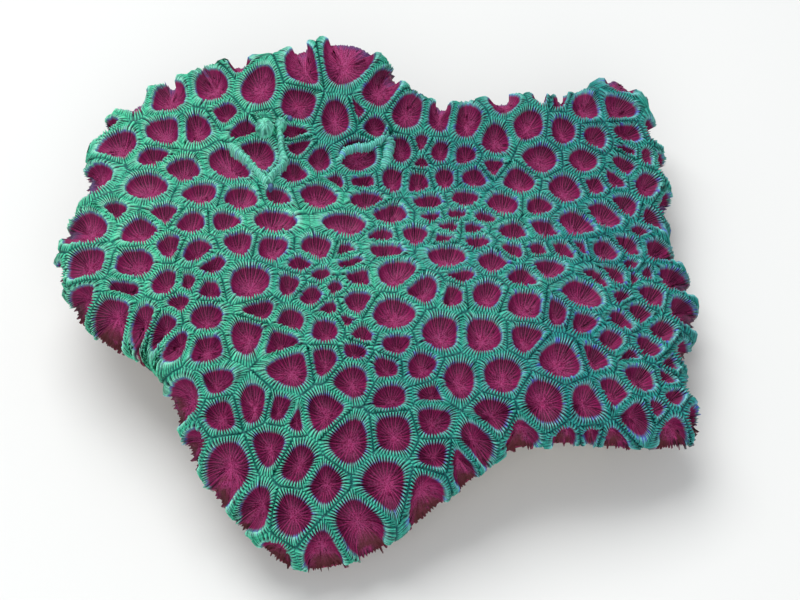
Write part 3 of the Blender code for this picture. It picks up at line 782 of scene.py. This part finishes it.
def build_knob(x, y, radius, rise, violet):
    """Turns one warty dome."""
    count = round(2 * math.pi * radius / RIB_SPACING * 2)
    turns = np.arange(count) * 2 * math.pi / count
    rays = np.column_stack([np.cos(turns), np.sin(turns)])
    look = {"tone": rim_rng.uniform(0, 1, count), "across": WART_ACROSS, "flesh": 0.0, "violet": violet}
    previous = None
    for share, lift in DOME:
        ribs = rim_rng.uniform(*WART_RIB, count)
        grain = between(ribs, *WART_RISE) * rim_rng.normal(1, WART_UNEVEN, count)
        ring = np.array([x, y]) + rays * (radius * share * grain)[:, None]
        here = rims.put(ring, rise * lift * grain, rib=ribs, **look)
        if previous is not None:
            rims.band(previous, here)
        previous = here
    top = rims.put(np.array([[x, y]]), rise * DOME_TOP, flesh=0.0, violet=violet, **TOP_LOOK)
    rims.fan(previous, top)


for knob in KNOBS:
    build_knob(*knob)
print("rim and knob points:", rims.count)

# %% [markdown]
# ## From numbers to meshes
# from_pydata takes plain lists of points and faces. The named values go along as attributes, one
# number for each point, and the materials read them to tell a rib from a gap.

# %% Make the living pieces
def new_object(name, data):
    """A new object in the scene."""
    thing = bpy.data.objects.new(name, data)
    bpy.context.scene.collection.objects.link(thing)
    return thing


def make_piece(name, surface, places):
    """A mesh object of a surface whose points lie at these places, in millimetres."""
    mesh = bpy.data.meshes.new(name)
    mesh.from_pydata(((places - [*FRAME_CENTRE, 0]) * MM).tolist(), [], surface.faces)
    mesh.polygons.foreach_set("use_smooth", [True] * len(mesh.polygons))
    for label, rows in surface.values.items():
        layer = mesh.attributes.new(label, "FLOAT", "POINT")
        layer.data.foreach_set("value", np.concatenate(rows).astype(np.float32))
    piece = new_object(name, mesh)
    triangles = sum(len(p.vertices) - 2 for p in mesh.polygons)
    print(name, "has", triangles, "triangles")
    return piece


def bend_piece(name, surface):
    """Bends a surface over the plate and makes its piece."""
    return make_piece(name, surface, bend(np.vstack(surface.points), np.concatenate(surface.rises)))


living_walls = bend_piece("living_walls", walls)
discs_at_left = bend_piece("living_discs_left", left_discs)
discs_at_right = bend_piece("living_discs_right", right_discs)
raised_rims = bend_piece("raised_rims", rims)

# %% [markdown]
# ## The bare underside
# Below the lip a plate coral is dead limestone, with fine ribs that run in from the edge and
# faint steps where growth paused. It starts at the lip's own points, so no gap shows, and runs in
# and down to the flat foot where the colony was cut from its rock.

# %% Follow the lip
steps_on = {}
for sides in map(sides_of, cells):
    for a, b, wall in sides:
        if wall in lip_walls:
            row = bead_rows[wall]
            steps_on[a] = row if a < b else row[::-1]
lip_row = []
corner = next(iter(steps_on))
while not lip_row or corner != lip_row[0]:
    lip_row.extend(steps_on[corner][:-1])
    corner = steps_on[corner][-1]
lip_row = np.array(lip_row)
lip_places = bend(beads[lip_row], groove_rise[lip_row])
print("points round the lip:", len(lip_row))

# %% Run the underside in to the foot
TUCK_IN, TUCK_DOWN = 2.6, 1.6
# each ring as a share of the first, down to the foot, and then across the foot
UNDER_STEPS = (1.0, 0.96, 0.92, 0.88, 0.84, 0.8, 0.75, 0.7, 0.65, 0.59, 0.53, 0.49, 0.45)
FOOT_STEPS = (0.34, 0.22, 0.1)
LIP_EASING, RING_EASING = 240, 60
FALL_POWER = 0.7
FOLD_COUNTS, FOLD_DEPTH, UNDER_RIB = (23, 41, 67), 0.55, 0.22
GROWTH_STEP, STEP_EVERY = 0.25, 3
OVER_FLOOR = 0.05
STAINED_RINGS = 5

smooth_lip = eased(lip_places, LIP_EASING)
shrink = 1 - TUCK_IN / np.hypot(smooth_lip[:, 0], smooth_lip[:, 1])
tucked = smooth_lip * np.column_stack([shrink, shrink, np.ones(len(shrink))]) - [0, 0, TUCK_DOWN]
turns = np.arange(len(tucked))
ribs = turns % 2
waves = [np.sin(turns * 2 * math.pi * n / len(turns) + n) for n in FOLD_COUNTS]
folds = sum(waves) / len(waves)
foot = UNDER_STEPS[-1]
rows = [(lip_places, 1.0, ribs)]
for k, scale in enumerate(UNDER_STEPS):
    fade = (scale - foot) / (1 - foot)
    ring = eased(tucked, RING_EASING * k) * [scale, scale, fade**FALL_POWER]
    if fade:
        step = GROWTH_STEP * (k % STEP_EVERY)
        relief = fade * (FOLD_DEPTH * folds + UNDER_RIB * ribs)
        ring[:, 2] = np.maximum(ring[:, 2] - relief + step, OVER_FLOOR)
    rows.append((ring, max(1 - (k + 1) / STAINED_RINGS, 0), ribs * fade))
foot_ring = ring
rows += [(foot_ring * [scale / foot, scale / foot, 1], 0.0, 0.0) for scale in FOOT_STEPS]
print("rings from the lip to the foot:", len(rows))

# %% Make the underside
under = Surface("lip", "rib")
rings = [under.put(places, 0.0, lip=lip, rib=rib) for places, lip, rib in rows]
for outer, inner in zip(rings, rings[1:]):
    under.band(outer[::-1], inner[::-1])
under.fan(rings[-1][::-1], under.put(np.zeros((1, 3)), 0.0, lip=0.0, rib=0.0))
bare_underside = make_piece("bare_underside", under, np.vstack(under.points))

# %% [markdown]
# ## Materials from nodes
# Every colour is written as an sRGB hex value, as a colour picker shows it. Blender's shaders
# count in linear light, so one function converts. A second one sets or links a node's inputs, and
# a small class adds the few kinds of node that all three materials are made of.

# %% Helpers for nodes
def linear(hex_colour):
    """An sRGB hex colour as the linear colour that a shader takes."""
    channels = [int(hex_colour[k:k + 2], 16) / 255 for k in (1, 3, 5)]
    return [c / 12.92 if c <= 0.04045 else ((c + 0.055) / 1.055) ** 2.4 for c in channels] + [1.0]


def feed(node, inputs):
    """Sets a node's inputs, or links them where a value is another node's output."""
    for socket, value in inputs.items():
        if isinstance(value, bpy.types.NodeSocket):
            node.id_data.links.new(value, node.inputs[socket])
        else:
            node.inputs[socket].default_value = value


print("a mid green in linear light:", [round(c, 3) for c in linear("#3FC891")])

# %% A class for materials
# a Mix node's sockets for colours, by number, because its other kinds have the same names
SHARE, FIRST, SECOND, MIXED = 0, 6, 7, 2


class Finish:
    """A new material, and short ways to add the nodes that colour it."""

    def __init__(self, name):
        self.material = bpy.data.materials.new(name)
        self.material.use_nodes = True
        self.nodes = self.material.node_tree.nodes
        self.place = self.add("TexCoord", {})["Object"]

    def add(self, kind, inputs, **settings):
        """Adds a node with its properties and inputs, and returns its outputs."""
        node = self.nodes.new("ShaderNode" + kind)
        for name, value in settings.items():
            setattr(node, name, value)
        feed(node, inputs)
        return node.outputs

    def value(self, name):
        """A value that the mesh has at each point."""
        return self.add("Attribute", {}, attribute_name=name)["Fac"]

    def along(self, axis):
        """The place along one axis, in metres."""
        return self.add("SeparateXYZ", {"Vector": self.place})[axis]

    def noise(self, per_metre, detail):
        """Soft noise with so many waves in a metre."""
        return self.add("TexNoise", {"Vector": self.place, "Scale": per_metre, "Detail": detail})["Fac"]

    def cells(self, per_metre, feature="F1"):
        """Distances in a pattern of cells, with so many cells in a metre."""
        inputs = {"Vector": self.place, "Scale": per_metre}
        return self.add("TexVoronoi", inputs, feature=feature)["Distance"]

    def ramp(self, value, start, end, clear_of_rim_shade=0.0, high=1.0):
        """Goes from low to high while the value goes from start to end."""
        inputs = {"Value": value, "From Min": start, "From Max": end, "To Min": clear_of_rim_shade, "To Max": high}
        return self.add("MapRange", inputs)["Result"]

    def math(self, operation, *numbers):
        """One sum with values or numbers."""
        return self.add("Math", dict(enumerate(numbers)), operation=operation)[0]

    def times(self, first, second):
        """Two values multiplied."""
        return self.math("MULTIPLY", first, second)

    def mix(self, share, first, second):
        """Goes from the first colour to the second while the share goes from 0 to 1."""
        first, second = (linear(c) if isinstance(c, str) else c for c in (first, second))
        return self.add("Mix", {SHARE: share, FIRST: first, SECOND: second}, data_type="RGBA")[MIXED]

    def coat(self, colour, height, strength, depth, even):
        """Gives the shader its colour, a fine relief, and the values that are even all over."""
        relief = self.add("Bump", {"Strength": strength, "Distance": depth, "Height": height})["Normal"]
        feed(self.nodes["Principled BSDF"], {"Base Color": colour, "Normal": relief, **even})
        print("made", self.material.name)
        return self.material


# %% [markdown]
# ### Living tissue over the walls
# Thin wet tissue covers the ribs. Its green is strongest on the ribs and brightest on the
# teeth round each pit, where a painted highlight adds to it, and the gaps between ribs are deep
# teal, darkened further as painted shade. The tissue is translucent and slimy, so it has a soft
# gloss: an index of refraction near water's, and a middling roughness.

# %% Colour the ribs
skin = Finish("green wall tissue")
rib, across, tone = skin.value("rib"), skin.value("across"), skin.value("tone")
# patches of tone about 20 mm across, and a drift from bright at the left to deep at the right,
# partly the tissue's own tone and partly painted light that is brighter on the left
drift_and_left_light = skin.ramp(skin.along("X"), -0.04, 0.035)
uneven = skin.math("MULTIPLY_ADD", skin.noise(50, 2), 1.2, drift_and_left_light)
deep = skin.ramp(uneven, 0.3, 1.7)
crest = skin.ramp(rib, 0.35, 1.0)
# the gaps between ribs are deep teal, darkened further as painted shade
shaded_gap_green = skin.mix(deep, "#126452", "#0E4E58")
green = skin.mix(crest, shaded_gap_green, skin.mix(deep, "#6CFCC0", "#34B4AC"))
# darker specks of pigment, about 0.7 mm across
specks = skin.ramp(skin.noise(1500, 3), 0.48, 0.66, 0.0, 0.7)
green = skin.mix(specks, green, "#1E7A6C")
print("green tissue coloured along its ribs")

# %% Colour the teeth, the groove and the torn lip
# pale teeth round the pit, some brighter than others, brightened further by a painted highlight
rim = skin.ramp(across, 0.55, 0.9)
teeth = skin.times(skin.times(rim, crest), skin.ramp(tone, 0.0, 1.0, 0.35, 1.0))
teeth_and_highlight = skin.mix(teeth, green, skin.mix(deep, "#B4FFDC", "#96DEE6"))
# a few violet tips where the green is deep, partly the tissue's tint and partly painted glints
violet_tint_and_glint = skin.times(skin.ramp(tone, 0.78, 0.9), rim)
tipped = skin.mix(skin.times(violet_tint_and_glint, deep), teeth_and_highlight, "#5A6CE0")
# painted shade in the groove along the crest, and painted shade low in the gaps between the teeth
groove_shaded = skin.mix(skin.ramp(across, 0.0, 0.11, 0.75, 0.0), tipped, "#063648")
gap_shade_mask = skin.times(skin.ramp(across, 0.35, 0.75), skin.ramp(rib, 0.3, 0.85, 0.9, 0.0))
gaps_shaded = skin.mix(gap_shade_mask, groove_shaded, "#1C0A28")
# flesh where a wall is torn open at the lip, and the violet nubs
fleshy = skin.mix(skin.value("flesh"), gaps_shaded, skin.mix(tone, "#5A1230", "#A83060"))
tissue = skin.mix(skin.value("violet"), fleshy, "#463A86")
# slime and small warts on the tissue, about 0.25 mm across
shine = {"Roughness": 0.45, "IOR": 1.36, "Specular IOR Level": 0.4}
wall_tissue = skin.coat(tissue, skin.noise(4000, 2), 0.35, 0.1 * MM, shine)

# %% [markdown]
# ### Flesh of the pits
# The polyp's disc is crimson. It is painted darkest on the steep slope under the rim and in the gaps
# between its ribs, as painted shade, and pinker on the floor, where pale ribs show through the thin
# flesh and meet at the mouth in the middle.

# %% Colour slopes and floors
skin = Finish("crimson polyp flesh")
rib, depth, tone, torn = (skin.value(name) for name in ("rib", "depth", "tone", "torn"))
# painted shade: the slope under the rim, and most of all the gaps between its ribs, are darker than the
# floor
clear_of_rim_shade = skin.ramp(depth, 0.3, 0.8)
# mottling of the flesh, about 2 mm across
mottle = skin.ramp(skin.noise(500, 3), 0.4, 0.7, 0.0, 0.6)
shaded_gap_red = skin.mix(mottle, skin.mix(clear_of_rim_shade, "#14030E", "#761848"), "#3A0826")
strong = skin.mix(clear_of_rim_shade, "#9C2260", "#AC2E6A")
weak = skin.mix(clear_of_rim_shade, "#6E1648", "#8E2258")
seen = skin.ramp(rib, 0.2, 0.8)
striped = skin.mix(seen, shaded_gap_red, skin.mix(tone, strong, weak))
# a fine pale network on the floor, its meshes about 0.45 mm across
threads = skin.ramp(skin.cells(2200, "DISTANCE_TO_EDGE"), 0.02, 0.15, 0.6, 0.0)
threaded = skin.mix(skin.times(threads, clear_of_rim_shade), striped, "#BC508C")
print("crimson flesh coloured down its ribs")

# %% Colour the pits' edges and the torn lip
# the green teeth reach a little way down into the pit, some with a violet tip, partly the tissue's
# tint and partly painted glints
near_rim = skin.ramp(depth, 0.02, 0.2, 1.0, 0.0)
whole = skin.math("MAXIMUM", skin.math("SUBTRACT", near_rim, torn), 0.0)
toothed = skin.mix(skin.times(whole, seen), threaded, skin.mix(tone, "#4FC2A6", "#5C5CC0"))
# torn flesh at the lip has patches about 4 mm across, grey violet at the back and brown in front
patch = skin.mix(skin.ramp(skin.along("Y"), -0.01, 0.02), "#4C1E1E", "#564C80")
cloud = skin.ramp(skin.noise(260, 4), 0.4, 0.52, 0.0, 0.85)
flesh = skin.mix(skin.times(cloud, torn), toothed, patch)
# small warts about 0.3 mm across
shine = {"Roughness": 0.55, "IOR": 1.36, "Specular IOR Level": 0.3}
pit_flesh = skin.coat(flesh, skin.noise(3500, 2), 0.4, 0.1 * MM, shine)

# %% [markdown]
# ### Bare limestone
# Coral skeleton is chalky, porous aragonite, so it is matt and pale. Near the lip it is stained
# by flesh and algae, and its fine ribs are rubbed paler than the gaps between them.

# %% Bare limestone
skin = Finish("bare coral limestone")
# stains about 10 mm across
stone = skin.mix(skin.ramp(skin.noise(100, 4), 0.4, 0.65), "#B9AE9A", "#84796E")
ribbed = skin.mix(skin.times(skin.value("rib"), 0.35), stone, "#D6CDBB")
stained = skin.mix(skin.value("lip"), ribbed, "#5B1C2C")
# pores about 0.5 mm across
pores = skin.ramp(skin.cells(1800), 0.0, 0.45)
limestone = skin.coat(stained, pores, 0.6, 0.3 * MM, {"Roughness": 0.85})

# %% Dress the pieces
for piece, material in (
    (living_walls, wall_tissue),
    (raised_rims, wall_tissue),
    (discs_at_left, pit_flesh),
    (discs_at_right, pit_flesh),
    (bare_underside, limestone),
):
    piece.data.materials.append(material)
    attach(piece, "root")
    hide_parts("colony")
    print(piece.name, "wears", material.name)

# %% [markdown]
# ## A plain studio
# The colony stands on a pale floor under one large soft lamp above and behind it, so that the
# pits' far slopes lie in shade, and a weaker one from the front. The camera looks down at 50
# degrees with an 85 mm lens.

# %% Floor
FLOOR_HALF = 3.0

floor_mesh = bpy.data.meshes.new("studio_floor")
floor_corners = [(x * FLOOR_HALF, y * FLOOR_HALF, 0) for x, y in SQUARE]
floor_mesh.from_pydata(floor_corners, [], [(0, 1, 2, 3)])
floor = new_object("studio_floor", floor_mesh)
paper = bpy.data.materials.new("pale studio paper")
paper.use_nodes = True
feed(paper.node_tree.nodes["Principled BSDF"], {"Base Color": linear("#E4E4E2"), "Roughness": 0.9})
floor_mesh.materials.append(paper)
floor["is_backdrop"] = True
print("floor laid")

# %% Lamps
# lamps and camera face a point a little right of the middle and half the colony's height up
AIM = Vector((4.5 - FRAME_CENTRE[0], -FRAME_CENTRE[1], 15)) * MM


def stand(name, data, place, towards):
    """A lamp or camera at a place, turned in a direction."""
    holder = new_object(name, data)
    holder.location = place
    holder.rotation_mode = "QUATERNION"
    holder.rotation_quaternion = towards.to_track_quat("-Z", "Y")
    return holder


def soft_lamp(name, place, size, power):
    """A square lamp that faces the coral."""
    lamp = bpy.data.lights.new(name, "AREA")
    lamp.size = size
    lamp.energy = power
    stand(name, lamp, place, AIM - Vector(place))
    print(name, "gives", power, "W")


soft_lamp("top_lamp", (-0.15, 0.25, 0.6), 0.5, 3.7)
soft_lamp("front_lamp", (0.0, -0.6, 0.4), 0.6, 3.0)
sky = bpy.data.worlds.new("studio")
bpy.context.scene.world = sky
sky.use_nodes = True
feed(sky.node_tree.nodes["Background"], {"Color": linear("#E8EDF2"), "Strength": 0.45})
bpy.context.scene.view_settings.view_transform = "Standard"

# %% Camera
ELEVATION = math.radians(50)
DISTANCE = 354 * MM

camera_data = bpy.data.cameras.new("camera")
camera_data.lens = 85
camera_data.sensor_width = 36
camera_data.clip_start = 0.01
back = Vector((0, -math.cos(ELEVATION), math.sin(ELEVATION)))
camera = stand("camera", camera_data, AIM + back * DISTANCE, -back)
bpy.context.scene.camera = camera
print("camera at", [round(c, 3) for c in camera.location])

# %% Compare the boxes and finish
visual_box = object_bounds()
[[list(corner) for corner in box] for box in (solid_box, visual_box)]
print("visual box in mm:", [[round(c * 1000, 1) for c in corner] for corner in visual_box])
